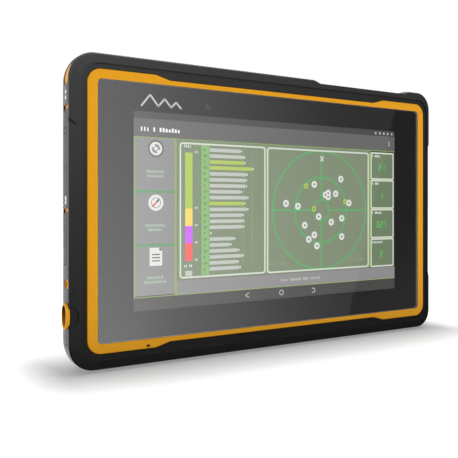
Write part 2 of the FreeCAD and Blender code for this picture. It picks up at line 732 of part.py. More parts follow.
def port_cover(extent):
    """A flap flush with the side, with a finger notch at its top end and a hinge barrel."""
    low, high = extent
    d0, d1 = COVER_DEPTH
    slab = block(-SIDE_LEFT - 5, COVER_INNER_X, low, high, d0, d1)
    slab = slab.common(skin(FRONT_SKIN[2:-1] + REAR_SKIN[:3]))
    n0, n1 = NOTCH_DEPTH
    notch = [(n1, high + 1), (n1, high - 2.4), (n0, high - 1.6), (n0, high + 1)]
    corners = [V(-SIDE_LEFT - 5, depth, z) for depth, z in notch]
    wedge = Part.Face(Part.makePolygon(corners + corners[:1])).extrude(V(12, 0, 0))
    tab = pull_tab(high, CLEAR, 5.0)
    web = block(-104.6, COVER_INNER_X + 0.1, low, high, d1 - 0.2, HINGE_DEPTH)
    barrel = rod_z(HINGE_X, HINGE_DEPTH, KNUCKLE_R, low, high)
    marks = [block(-SIDE_LEFT - 1, -SIDE_LEFT + 0.3, z - 0.3, z + 0.3, 5.0, 7.6) for z in COVER_MARKS]
    slab = slab.cut([wedge, tab] + marks).fuse([web, barrel])
    return slab.cut(rod_z(HINGE_X, HINGE_DEPTH, HINGE_BORE_R, low - 1, high + 1))


def port_seal(extent):
    """The soft liner on the inside of a cover, with a raised lip."""
    low, high = extent
    d0, d1 = COVER_DEPTH
    sheet = plate_x(-104.05, -103.6, low + 0.4, high - 0.4, d0 + 0.6, d1 - 0.6)
    lip = plate_x(-103.65, -103.2, low + 1.2, high - 1.2, d0 + 1.4, d1 - 1.0)
    lip = lip.cut(plate_x(-103.7, -103, low + 2.2, high - 2.2, d0 + 2.2, d1 - 1.8))
    root = block(TAB_X[1] - 0.1, -103.6, high + TAB_RISE[0], high - 0.5, d0 + 0.8, TAB_DEPTH[1])
    return sheet.fuse([lip, pull_tab(high, 0.0), root])


def plate_x(x0, x1, z0, z1, d0, d1):
    """A plate that faces sideways, with its four corner edges rounded."""
    sheet = block(x0, x1, z0, z1, d0, d1)
    across = [edge for edge in sheet.Edges if edge.BoundBox.XLength > (x1 - x0) / 2]
    return sheet.makeFillet(0.5, across)


def hinge_pins():
    pins = []
    for low, high in (COVER_UPPER, COVER_LOWER):
        pins.append(rod_z(HINGE_X, HINGE_DEPTH, HINGE_PIN_R, low - 1.4 + 0.5, high + 1.4 - 0.5))
    return Part.makeCompound(pins)


# ---- battery -----------------------------------------------------------------------------------


def battery_tray():
    tray = centred_plate(*BATTERY_TRAY, 3.2, BAY_FLOOR[1] + 0.1, BATTERY_SPLIT, BAY_Z)
    hollow = centred_plate(BATTERY_TRAY[0] - 1.4, BATTERY_TRAY[1] - 1.4, 2.0, 12.2, 20, BAY_Z)
    return tray.cut(hollow)


def battery_cells():
    """Two flat cells side by side."""
    cells = []
    for x0, x1 in ((-62.3, -0.5), (0.5, 62.3)):
        cells.append(plate(x0, x1, BAY_Z - 30.3, BAY_Z + 30.3, 1.5, 12.3, 15.5))
    return Part.makeCompound(cells)


def battery_lid():
    """The outer cover of the battery, with the notch that the latch bolt enters."""
    back = THICKNESS
    lid = centred_plate(*BATTERY_LID, 3.7, BATTERY_SPLIT, back, BAY_Z)
    rim = [edge for edge in lid.Edges if edge.BoundBox.YMin > back - 0.01]
    lid = lid.makeChamfer(0.4, rim)
    notch = block(-5.3, 5.3, LATCH_BOLT[1] - LATCH_TRAVEL - 0.2, 30, 15.85, 17.25)
    grips = []
    for x0, x1 in ((-46, -16), (16, 46)):
        for row in range(3):
            z = BAY_Z - 14 + 14 * row
            grips.append(plate(x0, x1, z - 3, z + 3, 2.9, back - 0.5, back + 1))
    return lid.cut([notch] + grips)


def battery_seal():
    d0 = BAY_LEDGE + CLEAR
    d1 = BATTERY_SPLIT - CLEAR
    ring = centred_plate(BATTERY_LID[0] - 0.1, BATTERY_LID[1] - 0.1, 3.6, d0, d1, BAY_Z)
    return ring.cut(centred_plate(BATTERY_TRAY[0] + 0.03, BATTERY_TRAY[1] + 0.03, 3.2, 10, 20, BAY_Z))


def battery_contacts():
    """A sprung contact block that stands on the board and reaches into the bay."""
    body = block(-57, -43, 18, 22, BOARD_DEPTH[1] + CLEAR, BAY_FLOOR[1] + 0.05)
    slots = [block(-55.6 + 2.6 * i, -54.2 + 2.6 * i, 17, 19.4, 10.4, 12) for i in range(5)]
    return body.cut(slots)


def battery_latch():
    """The sliding lock in its unlocked place: a ribbed knob and a flat bolt."""
    half, low, high = LATCH_KNOB
    knob = plate(-half, half, low, high, 0.6, 16.0, 17.2)
    bolt_half, bolt_low, bolt_high = LATCH_BOLT
    bolt = block(-bolt_half, bolt_half, bolt_low, bolt_high + 0.5, 16.0, 17.1)
    ribs = []
    for rib in range(4):
        z = low + 1 + 1.6 * rib
        ribs.append(block(-half + 1.5, half - 1.5, z, z + 0.8, 17.1, 17.7))
    return knob.fuse([bolt] + ribs)


# ---- stylus ------------------------------------------------------------------------------------


def stylus_cap():
    """A coloured oval cup that closes the tube, hollow at its outer end."""
    x0 = STYLUS_CAP_X[0]
    d0, d1 = STYLUS_CAP_DEPTH
    wall = 0.7
    mouth = oval_x(STYLUS_CAP_HALF - wall, x0 - 1, x0 + 1.5, d0 + wall, d1 - wall)
    n0, n1 = STYLUS_NECK_DEPTH
    throat = oval_x(STYLUS_CAP_HALF - 2 * wall, x0, x0 + 3.6, n0 + wall, n1 - wall)
    return stylus_cap_solid(0.0).cut([mouth, throat])


def stylus_barrel():
    return rod_x(STYLUS_Z, STYLUS_DEPTH, STYLUS_R, STYLUS_CAP_X[2], STYLUS_TIP_X[0])


def stylus_tip():
    x0, x1 = STYLUS_TIP_X
    return Part.makeCone(STYLUS_R, 0.7, x1 - x0, V(x0, STYLUS_DEPTH, STYLUS_Z), V(1, 0, 0))


def stylus_tube():
    x0 = -101.0
    x1 = STYLUS_TIP_X[1] + 3
    tube = rod_x(STYLUS_Z, STYLUS_DEPTH, TUBE_R, x0, x1)
    return tube.cut(rod_x(STYLUS_Z, STYLUS_DEPTH, TUBE_BORE_R, x0 - 1, x1 - 1))


# ---- fasteners ---------------------------------------------------------------------------------


def strap_inserts():
    """Four threaded brass inserts for a hand strap or a bracket."""
    back = THICKNESS
    inserts = []
    for side_x in (-1, 1):
        for side_z in (-1, 1):
            x = side_x * STRAP_INSERT[0]
            z = side_z * STRAP_INSERT[1]
            insert = peg(x, z, INSERT_R, back - 5.3, back - 0.3)
            inserts.append(insert.cut(peg(x, z, INSERT_THREAD_R, back - 4.8, back)))
    return Part.makeCompound(inserts)


def housing_screws():
    """Socket-head screws from the back into the midframe."""
    back = THICKNESS
    screws = []
    for x, z in HOUSING_SCREWS:
        screw = peg(x, z, 2.6, back - 2.1, back - 0.4).fuse(peg(x, z, 1.4, 3.8, back - 2.0))
        screws.append(screw.cut(hexagon(x, z, 1.2, back - 1.3, back)))
    return Part.makeCompound(screws)


def hexagon(x, z, radius, d0, d1):
    points = []
    for corner in range(6):
        turn = math.radians(60 * corner)
        points.append((x + radius * math.cos(turn), z + radius * math.sin(turn)))
    return polygon(points, d0, d1)


def board_screws():
    screws = []
    for x, z in BOARD_SCREWS:
        top = BOARD_DEPTH[1] + CLEAR
        screw = peg(x, z, 1.9, top, top + 1.0).fuse(peg(x, z, 1.0, 5.6, top + 0.1))
        screws.append(screw.cut(hexagon(x, z, 0.9, top + 0.5, top + 2)))
    return Part.makeCompound(screws)


PIECES = {
    "cover_glass": cover_glass,
    "glass_border": glass_border,
    "touch_sensor": touch_sensor,
    "glass_adhesive": glass_adhesive,
    "lcd_panel": lcd_panel,
    "backlight": backlight,
    "front_camera": front_camera,
    "trim_ring": trim_ring,
    "microphone": microphone,
    "front_bumper": front_bumper,
    "corner_accent": corner_accent,
    "tether_eyelet": tether_eyelet,
    "midframe": midframe,
    "housing_gasket": housing_gasket,
    "rear_corner_bumpers": rear_corner_bumpers,
    "rear_housing": rear_housing,
    "mainboard": lambda: board(MAINBOARD, 2.0, BOARD_SCREWS),
    "io_board": lambda: board(IO_BOARD, 1.0, BOARD_SCREWS),
    "board_chips": board_chips,
    "shield_cans": shield_cans,
    "gnss_antenna": gnss_antenna,
    "wifi_antenna": wifi_antenna,
    "cellular_antenna": cellular_antenna,
    "speaker": speaker,
    "speaker_mesh": speaker_mesh,
    "rear_camera": rear_camera,
    "rear_camera_window": rear_camera_window,
    "flash_lens": flash_lens,
    "dock_connector": dock_connector,
    "dock_pins": dock_pins,
    "button_board": button_board,
    "button_seal": button_seal,
    "usb_connector": lambda: port_body(USB, 4.0, 1.2),
    "hdmi_connector": lambda: port_body(HDMI, 5.2, 1.1),
    "audio_jack": lambda: round_port(AUDIO, 1.3, 0),
    "power_jack": lambda: round_port(POWER, 1.45, 0.5),
    "port_cover_upper": lambda: port_cover(COVER_UPPER),
    "port_cover_lower": lambda: port_cover(COVER_LOWER),
    "port_seal_upper": lambda: port_seal(COVER_UPPER),
    "port_seal_lower": lambda: port_seal(COVER_LOWER),
    "hinge_pins": hinge_pins,
    "battery_tray": battery_tray,
    "battery_cells": battery_cells,
    "battery_lid": battery_lid,
    "battery_seal": battery_seal,
    "battery_contacts": battery_contacts,
    "battery_latch": battery_latch,
    "stylus_cap": stylus_cap,
    "stylus_barrel": stylus_barrel,
    "stylus_tip": stylus_tip,
    "stylus_tube": stylus_tube,
    "strap_inserts": strap_inserts,
    "housing_screws": housing_screws,
    "board_screws": board_screws,
}

os.makedirs("parts", exist_ok=True)
for piece_name, make_piece in PIECES.items():
    save(piece_name, make_piece())
for key_name, key_x in KEYS.items():
    save(key_name, key(key_x))
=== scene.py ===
import math

import bmesh
import bpy
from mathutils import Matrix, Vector

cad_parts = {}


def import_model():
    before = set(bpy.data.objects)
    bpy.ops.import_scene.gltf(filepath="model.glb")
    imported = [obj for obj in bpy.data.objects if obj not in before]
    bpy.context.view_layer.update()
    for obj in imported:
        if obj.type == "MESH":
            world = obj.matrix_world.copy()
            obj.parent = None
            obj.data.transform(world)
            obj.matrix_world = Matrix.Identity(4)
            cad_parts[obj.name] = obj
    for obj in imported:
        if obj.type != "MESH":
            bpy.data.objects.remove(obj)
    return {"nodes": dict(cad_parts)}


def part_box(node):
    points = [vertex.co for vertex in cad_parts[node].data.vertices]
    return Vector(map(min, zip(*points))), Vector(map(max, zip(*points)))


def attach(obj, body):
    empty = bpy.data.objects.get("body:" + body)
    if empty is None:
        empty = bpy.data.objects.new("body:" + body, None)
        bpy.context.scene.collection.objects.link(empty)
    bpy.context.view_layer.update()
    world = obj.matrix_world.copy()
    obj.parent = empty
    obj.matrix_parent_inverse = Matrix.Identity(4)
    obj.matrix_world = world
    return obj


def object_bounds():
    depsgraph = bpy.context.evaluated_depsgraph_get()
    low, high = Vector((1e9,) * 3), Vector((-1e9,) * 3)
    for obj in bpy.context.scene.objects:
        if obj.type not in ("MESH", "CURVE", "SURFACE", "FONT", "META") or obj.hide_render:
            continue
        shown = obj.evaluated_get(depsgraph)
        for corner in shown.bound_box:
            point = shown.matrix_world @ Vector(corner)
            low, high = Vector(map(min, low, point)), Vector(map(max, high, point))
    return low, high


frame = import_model()
cad_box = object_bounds()
nodes = frame["nodes"]
MM = 0.001

# The screen: its middle, its lit area, and the gap behind the glass that its picture sits in
lcd_low, lcd_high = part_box("lcd_panel")
SCREEN_X = (lcd_low.x + lcd_high.x) / 2
SCREEN_Z = (lcd_low.z + lcd_high.z) / 2
SCREEN_W = 155.0 * MM
SCREEN_H = 87.2 * MM
PICTURE_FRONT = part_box("glass_border")[1].y + 0.02 * MM
LAYER = 0.03 * MM
LAYER_GAP = 0.012 * MM
GLASS_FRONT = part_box("cover_glass")[0].y


# ---- materials ---------------------------------------------------------------------------------


def srgb(r, g, b):
    """A colour given as 0 to 255 screen values, as linear red, green, blue, alpha."""
    linear = []
    for value in (r, g, b):
        c = value / 255
        linear.append(c / 12.92 if c <= 0.04045 else ((c + 0.055) / 1.055) ** 2.4)
    return (*linear, 1.0)


def new_material(name):
    material = bpy.data.materials.new(name)
    material.use_nodes = True
    tree = material.node_tree
    tree.nodes.clear()
    output = tree.nodes.new("ShaderNodeOutputMaterial")
    return material, tree, output


def noise(tree, scale, detail=3.0, roughness=0.5):
    """Noise in the object's own metres."""
    place = tree.nodes.new("ShaderNodeTexCoord")
    texture = tree.nodes.new("ShaderNodeTexNoise")
    texture.inputs["Scale"].default_value = scale
    texture.inputs["Detail"].default_value = detail
    texture.inputs["Roughness"].default_value = roughness
    tree.links.new(place.outputs["Object"], texture.inputs["Vector"])
    return texture.outputs["Fac"]


def remap(tree, value, low, high, from_low=0.3, from_high=0.7):
    node = tree.nodes.new("ShaderNodeMapRange")
    node.inputs["From Min"].default_value = from_low
    node.inputs["From Max"].default_value = from_high
    node.inputs["To Min"].default_value = low
    node.inputs["To Max"].default_value = high
    tree.links.new(value, node.inputs["Value"])
    return node.outputs["Result"]


def mix_colours(tree, factor, first, second):
    node = tree.nodes.new("ShaderNodeMix")
    node.data_type = "RGBA"
    node.inputs["A"].default_value = first
    node.inputs["B"].default_value = second
    tree.links.new(factor, node.inputs["Factor"])
    return node.outputs["Result"]


MOTTLE_SCALE = 60.0
RELIEF_DEPTH = 0.08 * MM
GLOSS_SPREAD = 0.08


def surface(
    name, colour, roughness, grain=1800.0, bump=0.15, metallic=0.0, vary=0.12, coat=0.0, shine=0.5
):
    """A moulded, cast or drawn surface: mottled colour, uneven gloss and a fine grain in relief."""
    material, tree, output = new_material(name)
    shader = tree.nodes.new("ShaderNodeBsdfPrincipled")
    lighter = tuple(min(1.0, c * (1 + vary)) for c in colour[:3]) + (1.0,)
    darker = tuple(c * (1 - vary) for c in colour[:3]) + (1.0,)
    mottle = remap(tree, noise(tree, MOTTLE_SCALE, 4.0, 0.6), 0.0, 1.0)
    tree.links.new(mix_colours(tree, mottle, darker, lighter), shader.inputs["Base Color"])
    fine = noise(tree, grain, 2.0, 0.55)
    gloss = remap(tree, fine, roughness - GLOSS_SPREAD, roughness + GLOSS_SPREAD)
    tree.links.new(gloss, shader.inputs["Roughness"])
    relief = tree.nodes.new("ShaderNodeBump")
    relief.inputs["Strength"].default_value = bump
    relief.inputs["Distance"].default_value = RELIEF_DEPTH
    tree.links.new(fine, relief.inputs["Height"])
    tree.links.new(relief.outputs["Normal"], shader.inputs["Normal"])
    shader.inputs["Metallic"].default_value = metallic
    shader.inputs["Coat Weight"].default_value = coat
    shader.inputs["Specular IOR Level"].default_value = shine
    tree.links.new(shader.outputs["BSDF"], output.inputs["Surface"])
    return material


def math_node(tree, operation, first, second=None, third=None):
    node = tree.nodes.new("ShaderNodeMath")
    node.operation = operation
    for socket, value in zip(node.inputs, (first, second, third)):
        if value is None:
            continue
        if isinstance(value, (int, float)):
            socket.default_value = value
        else:
            tree.links.new(value, socket)
    return node.outputs["Value"]


def object_axes(tree):
    place = tree.nodes.new("ShaderNodeTexCoord")
    split = tree.nodes.new("ShaderNodeSeparateXYZ")
    tree.links.new(place.outputs["Object"], split.inputs["Vector"])
    return split.outputs["X"], split.outputs["Y"], split.outputs["Z"]


BACKLIGHT = 1.2


def lit(name, colour):
    """A lit patch of the picture on the screen, with the backlight's slight unevenness."""
    material, tree, output = new_material(name)
    shader = tree.nodes.new("ShaderNodeBsdfPrincipled")
    dim = tuple(c * 0.05 for c in colour[:3]) + (1.0,)
    shader.inputs["Base Color"].default_value = dim
    shader.inputs["Roughness"].default_value = 0.6
    shader.inputs["Specular IOR Level"].default_value = 0.0
    uneven = remap(tree, noise(tree, 14.0, 2.0), 0.93, 1.05)
    low = tuple(c * 0.9 for c in colour[:3]) + (1.0,)
    tree.links.new(mix_colours(tree, uneven, low, colour), shader.inputs["Emission Color"])
    shader.inputs["Emission Strength"].default_value = BACKLIGHT
    tree.links.new(shader.outputs["BSDF"], output.inputs["Surface"])
    return material


# How much more often than real glass the mirror is used, and where that starts to level off
MIRROR_SHARE = 4.0
MIRROR_LIMIT = 0.3


def clear_glass(name, tint, roughness=0.0, ior=1.5, edge=None):
    """Thin clear glass: see-through, with a mirror-like front that grows at flat angles, and,
    where an edge colour is given, ground edges in that colour that scatter light; on the cover
    glass that light bluish grey is a painted highlight for the light its edges catch. At steep
    angles the mirror has a MIRROR_SHARE times larger share than real glass and is as many times
    darker, which gives the same brightness with less grain."""
    material, tree, output = new_material(name)
    clear = tree.nodes.new("ShaderNodeBsdfTransparent")
    clear.inputs["Color"].default_value = tint
    mirror = tree.nodes.new("ShaderNodeBsdfGlossy")
    mirror.inputs["Roughness"].default_value = roughness
    fresnel = tree.nodes.new("ShaderNodeFresnel")
    fresnel.inputs["IOR"].default_value = ior
    geometry = tree.nodes.new("ShaderNodeNewGeometry")
    front = math_node(tree, "SUBTRACT", 1.0, geometry.outputs["Backfacing"])
    smudge = remap(tree, noise(tree, 30.0, 4.0, 0.6), 0.97, 1.03)
    real = math_node(tree, "MULTIPLY", fresnel.outputs["Fac"], front)
    real = math_node(tree, "MULTIPLY", real, smudge)
    flat_angle = math_node(tree, "MULTIPLY_ADD", real, 1.0 - MIRROR_LIMIT, MIRROR_LIMIT)
    share = math_node(tree, "MINIMUM", math_node(tree, "MULTIPLY", real, MIRROR_SHARE), flat_angle)
    tree.links.new(math_node(tree, "DIVIDE", real, share), mirror.inputs["Color"])
    mix = tree.nodes.new("ShaderNodeMixShader")
    tree.links.new(share, mix.inputs["Fac"])
    tree.links.new(clear.outputs["BSDF"], mix.inputs[1])
    tree.links.new(mirror.outputs["BSDF"], mix.inputs[2])
    tree.links.new(mix.outputs["Shader"], output.inputs["Surface"])
    if edge:
        split = tree.nodes.new("ShaderNodeSeparateXYZ")
        tree.links.new(geometry.outputs["True Normal"], split.inputs["Vector"])
        facing = math_node(tree, "ABSOLUTE", split.outputs["Y"])
        # Edge faces get a flat light colour: a painted highlight
        ground = tree.nodes.new("ShaderNodeBsdfPrincipled")
        ground.inputs["Base Color"].default_value = edge
        ground.inputs["Roughness"].default_value = 0.45
        whole = tree.nodes.new("ShaderNodeMixShader")
        tree.links.new(math_node(tree, "LESS_THAN", facing, 0.5), whole.inputs["Fac"])
        tree.links.new(mix.outputs["Shader"], whole.inputs[1])
        tree.links.new(ground.outputs["BSDF"], whole.inputs[2])
        tree.links.new(whole.outputs["Shader"], output.inputs["Surface"])
    return material


RUBBER = surface("soft_rubber", srgb(29, 29, 28), 0.5, grain=2600.0, bump=0.2)
FRONT_RUBBER = surface("front_rubber", srgb(23, 23, 22), 0.38, grain=2600.0, bump=0.15)
COVER_RUBBER = surface("port_cover_rubber", srgb(33, 33, 32), 0.5, grain=2600.0, bump=0.22)
ORANGE_PLASTIC = {
    "colour": srgb(211, 147, 17),
    "roughness": 0.42,
    "grain": 2200.0,
    "bump": 0.08,
    "vary": 0.025,
    "shine": 0.15,
}
ORANGE = surface("orange_plastic", **ORANGE_PLASTIC)
# The stylus cap's orange; shade_cup adds painted shade in its hollow
CAP_ORANGE = surface("cap_orange", **ORANGE_PLASTIC)
ORANGE_SOFT = surface(
    "orange_silicone", srgb(196, 122, 18), 0.55, grain=1500.0, bump=0.1, vary=0.04, shine=0.2
)
HOUSING = surface("housing_plastic", srgb(44, 44, 45), 0.55, grain=1500.0, bump=0.45)
BLACK = surface("black_plastic", srgb(26, 26, 27), 0.45, grain=1800.0, bump=0.15)
INK = surface("black_ink", srgb(16, 16, 16), 0.8, grain=60.0, bump=0.0, vary=0.06, shine=0.0)
FOAM = surface("black_foam", srgb(22, 22, 22), 0.9, grain=4000.0, bump=0.5)
SILICONE = surface("grey_silicone", srgb(72, 72, 74), 0.6, grain=2000.0, bump=0.1)
KEY = surface("key_plastic", srgb(58, 58, 59), 0.4, grain=2200.0, bump=0.15)
MAGNESIUM = surface("cast_magnesium", srgb(150, 152, 155), 0.5, grain=900.0, bump=0.5, metallic=1.0)
STEEL = surface(
    "drawn_steel", srgb(178, 178, 180), 0.32, grain=2500.0, bump=0.1, metallic=1.0, vary=0.05
)
SCREW = surface("black_zinc", srgb(74, 74, 78), 0.35, grain=2500.0, bump=0.15, metallic=1.0)
BRASS = surface("brass", srgb(205, 165, 95), 0.32, grain=1600.0, bump=0.15, metallic=1.0, vary=0.05)
GOLD = surface(
    "gold_contacts", srgb(226, 188, 104), 0.22, grain=2500.0, bump=0.05, metallic=1.0, vary=0.03
)
BOARD = surface("circuit_board", srgb(28, 92, 62), 0.4, grain=700.0, bump=0.25, coat=0.4)
CERAMIC = surface("patch_ceramic", srgb(214, 204, 188), 0.35, grain=1500.0, bump=0.05, vary=0.04)
COPPER = surface("antenna_copper", srgb(190, 120, 72), 0.35, grain=1500.0, bump=0.08, metallic=1.0)
WHITE = surface("white_plastic", srgb(222, 222, 218), 0.5, grain=1500.0, bump=0.05, vary=0.02)
PANEL = surface("display_panel", srgb(20, 22, 20), 0.3, grain=1500.0, bump=0.02, vary=0.04)
CELL = surface("cell_wrap", srgb(78, 108, 150), 0.35, grain=400.0, bump=0.1, vary=0.06)
# The edge colour is a painted highlight: the light the cover glass's edges catch
GLASS = clear_glass("cover_glass", (0.985, 0.99, 0.985, 1.0), edge=srgb(128, 130, 150))
FILM = clear_glass("clear_film", (0.97, 0.97, 0.97, 1.0), 0.1, ior=1.05)
WINDOW = clear_glass("camera_window", (0.35, 0.37, 0.4, 1.0), 0.03)
FLASH = surface("flash_lens", srgb(232, 226, 196), 0.15, grain=700.0, bump=0.6, vary=0.03, coat=1.0)
PRINT = surface("white_print", srgb(214, 214, 210), 0.6, grain=3000.0, bump=0.05, vary=0.03)
EMBLEM = surface("grey_print", srgb(196, 196, 194), 0.6, grain=3000.0, bump=0.02, vary=0.02)

NODE_MATERIALS = {
    GLASS: ["cover_glass"],
    FILM: ["touch_sensor"],
    WINDOW: ["rear_camera_window"],
    FLASH: ["flash_lens"],
    INK: ["glass_border"],
    FOAM: ["glass_adhesive"],
    PANEL: ["lcd_panel"],
    WHITE: ["backlight"],
    ORANGE: ["trim_ring", "corner_accent", "tether_eyelet", "battery_latch"],
    CAP_ORANGE: ["stylus_cap"],
    ORANGE_SOFT: ["port_seal_upper", "port_seal_lower"],
    FRONT_RUBBER: ["front_bumper"],
    RUBBER: ["rear_corner_bumpers"],
    COVER_RUBBER: ["port_cover_upper", "port_cover_lower"],
    HOUSING: ["rear_housing", "battery_lid"],
    KEY: [
        "power_button",
        "volume_down_button",
        "volume_up_button",
        "function_button_left",
        "function_button_right",
    ],
    BLACK: [
        "front_camera",
        "rear_camera",
        "speaker",
        "dock_connector",
        "audio_jack",
        "power_jack",
        "battery_tray",
        "battery_contacts",
        "stylus_barrel",
        "stylus_tip",
        "stylus_tube",
        "board_chips",
    ],
    SILICONE: ["housing_gasket", "button_seal", "battery_seal"],
    MAGNESIUM: ["midframe"],
    BOARD: ["mainboard", "io_board", "button_board"],
    STEEL: [
        "microphone",
        "shield_cans",
        "speaker_mesh",
        "usb_connector",
        "hdmi_connector",
        "hinge_pins",
    ],
    SCREW: ["housing_screws", "board_screws"],
    BRASS: ["strap_inserts"],
    GOLD: ["dock_pins"],
    CERAMIC: ["gnss_antenna"],
    COPPER: ["wifi_antenna", "cellular_antenna"],
    CELL: ["battery_cells"],
}


# Painted shade in the stylus cap's hollow: how far out from the hollow's middle it reaches, and its
# strength at the bottom and at the top
CUP_OPENING = 0.72
CUP_PAINTED_SHADE = (0.35, 0.97)


def shade_cup(material, low, high):
    """Painted shade: darkens the hollow end of the stylus cap, most at its top, where no light gets
    in.
    """
    tree = material.node_tree
    shader = next(node for node in tree.nodes if node.type == "BSDF_PRINCIPLED")
    x, y, z = object_axes(tree)
    square = None
    for value, start, end in ((y, low.y, high.y), (z, low.z, high.z)):
        offset = math_node(tree, "SUBTRACT", value, (start + end) / 2)
        share = math_node(tree, "POWER", math_node(tree, "DIVIDE", offset, (end - start) / 2), 2.0)
        square = share if square is None else math_node(tree, "ADD", square, share)
    inside = math_node(tree, "LESS_THAN", square, CUP_OPENING)
    deep = math_node(tree, "GREATER_THAN", x, low.x + 0.05 * MM)
    inside = math_node(tree, "MULTIPLY", inside, deep)
    level = remap(tree, z, *CUP_PAINTED_SHADE, low.z + 1.5 * MM, high.z - 3.0 * MM)
    plain = shader.inputs["Base Color"].links[0].from_socket
    dark = tree.nodes.new("ShaderNodeMix")
    dark.data_type = "RGBA"
    dark.inputs["B"].default_value = (0.004, 0.003, 0.002, 1.0)
    tree.links.new(math_node(tree, "MULTIPLY", inside, level), dark.inputs["Factor"])
    tree.links.new(plain, dark.inputs["A"])
    tree.links.new(dark.outputs["Result"], shader.inputs["Base Color"])


def paint(obj, material):
    obj.data.materials.clear()
    obj.data.materials.append(material)


def finish_cad_nodes():
    for material, names in NODE_MATERIALS.items():
        for name in names:
            paint(nodes[name], material)
    shade_cup(CAP_ORANGE, *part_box("stylus_cap"))


# ---- flat pieces in the plane of the screen ----------------------------------------------------


def band(bm, outer, inner, y0, y1):
    """A closed loop of material between two outlines with the same number of (x, z) points."""
    rings = []
    for outline, y in ((outer, y0), (inner, y0), (inner, y1), (outer, y1)):
        rings.append([bm.verts.new((x, y, z)) for x, z in outline])
    count = len(outer)
    for first, second in zip(rings, rings[1:] + rings[:1]):
        for i in range(count):
            j = (i + 1) % count
            bm.faces.new((first[i], first[j], second[j], second[i]))


def slab(bm, outline, y0, y1):
    """A flat solid with this outline of (x, z) points."""
    front = [bm.verts.new((x, y0, z)) for x, z in outline]
    back = [bm.verts.new((x, y1, z)) for x, z in outline]
    bm.faces.new(front)
    bm.faces.new(back[::-1])
    count = len(outline)
    for i in range(count):
        j = (i + 1) % count
        bm.faces.new((front[j], front[i], back[i], back[j]))


def rectangle(x0, x1, z0, z1):
    return [(x0, z0), (x1, z0), (x1, z1), (x0, z1)]


def rounded(x0, x1, z0, z1, radius, steps=5):
    """A rectangle with round corners."""
    points = []
    corners = [(x1 - radius, z1 - radius, 0), (x0 + radius, z1 - radius, 90)]
    corners += [(x0 + radius, z0 + radius, 180), (x1 - radius, z0 + radius, 270)]
    for cx, cz, start in corners:
        for step in range(steps + 1):
            turn = math.radians(start + 90 * step / steps)
            points.append((cx + radius * math.cos(turn), cz + radius * math.sin(turn)))
    return points


def circle(cx, cz, radius, steps=48):
    points = []
    for step in range(steps):
        turn = 2 * math.pi * step / steps
        points.append((cx + radius * math.cos(turn), cz + radius * math.sin(turn)))
    return points


def stroke(x0, z0, x1, z1, width):
    """A straight line of this width."""
    along = Vector((x1 - x0, z1 - z0)).normalized()
    half = Vector((-along.y, along.x)) * width / 2
    return [
        (x0 + half.x, z0 + half.y),
        (x0 - half.x, z0 - half.y),
        (x1 - half.x, z1 - half.y),
        (x1 + half.x, z1 + half.y),
    ]


def make_piece(name, bm, material, body):
    bmesh.ops.recalc_face_normals(bm, faces=bm.faces)
    mesh = bpy.data.meshes.new(name)
    bm.to_mesh(mesh)
    bm.free()
    obj = bpy.data.objects.new(name, mesh)
    bpy.context.scene.collection.objects.link(obj)
    paint(obj, material)
    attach(obj, body)
    return obj


LETTER_PITCH = 0.78


class Layer:
    """One colour of the screen's picture, as one thin piece. Places are shares of the screen,
    from its left edge and from its top edge."""

    def __init__(self, name, colour, level):
        self.name = name
        self.material = lit(name, colour)
        self.y0 = PICTURE_FRONT + (LAYER + LAYER_GAP) * level
        self.y1 = self.y0 + LAYER
        self.bm = bmesh.new()

    def x(self, u):
        return SCREEN_X + (u - 0.5) * SCREEN_W

    def z(self, v):
        return SCREEN_Z + (0.5 - v) * SCREEN_H

    def shape(self, outline):
        slab(self.bm, outline, self.y0, self.y1)

    def box(self, u0, u1, v0, v1):
        self.shape(rectangle(self.x(u0), self.x(u1), self.z(v1), self.z(v0)))

    def outline(self, u0, u1, v0, v1, width, radius):
        x0, x1, z0, z1 = self.x(u0), self.x(u1), self.z(v1), self.z(v0)
        outer = rounded(x0, x1, z0, z1, radius)
        inner = rounded(x0 + width, x1 - width, z0 + width, z1 - width, radius * 0.6)
        band(self.bm, outer, inner, self.y0, self.y1)

    def ring(self, cx, cz, radius, width, steps=64):
        band(
            self.bm,
            circle(cx, cz, radius + width / 2, steps),
            circle(cx, cz, radius - width / 2, steps),
            self.y0,
            self.y1,
        )

    def disc(self, cx, cz, radius, steps=20):
        self.shape(circle(cx, cz, radius, steps))

    def line(self, x0, z0, x1, z1, width):
        self.shape(stroke(x0, z0, x1, z1, width))

    def words(self, u, v, counts, height, centred=False):
        """Plain marks in place of words: one mark for each letter, a gap between words."""
        pitch = height * LETTER_PITCH
        total = pitch * (sum(counts) + len(counts) - 1)
        x = self.x(u) - (total / 2 if centred else 0)
        z = self.z(v)
        for word, count in enumerate(counts):
            for letter in range(count):
                tall = height
                if letter:
                    tall *= 0.72 + 0.14 * ((letter * 5 + word * 3) % 3)
                wide = pitch * (0.42 + 0.1 * ((letter * 3 + word) % 3))
                self.shape(rectangle(x, x + wide, z - height / 2, z - height / 2 + tall))
                x += pitch
            x += pitch

    def finish(self):
        make_piece(self.name, self.bm, self.material, "tablet")


# ---- the picture on the screen -----------------------------------------------------------------

# Levels: 0 is nearest the glass
TEXT_LEVEL, DETAIL_LEVEL, MARK_LEVEL, LINE_LEVEL, AREA_LEVEL, BASE_LEVEL = range(6)

STATUS_BOTTOM = 0.035
TITLE_BOTTOM = 0.131
COLUMN_RIGHT = 0.131
COLUMN_BREAKS = (0.401, 0.672, 0.926)
CHART = (0.143, 0.443, 0.144, 0.851)
SKY = (0.449, 0.876, 0.145, 0.8525)
SKY_CENTRE = (0.666, 0.499)
SKY_RADII = (30.6 * MM, 17.1 * MM, 5.6 * MM)
READOUT = (0.885, 0.995)
READOUT_BREAKS = (0.138, 0.310, 0.492, 0.676, 0.856)
STRIP_BOTTOM = 0.935
EDGE = 0.004
HALF_LINE = 0.003


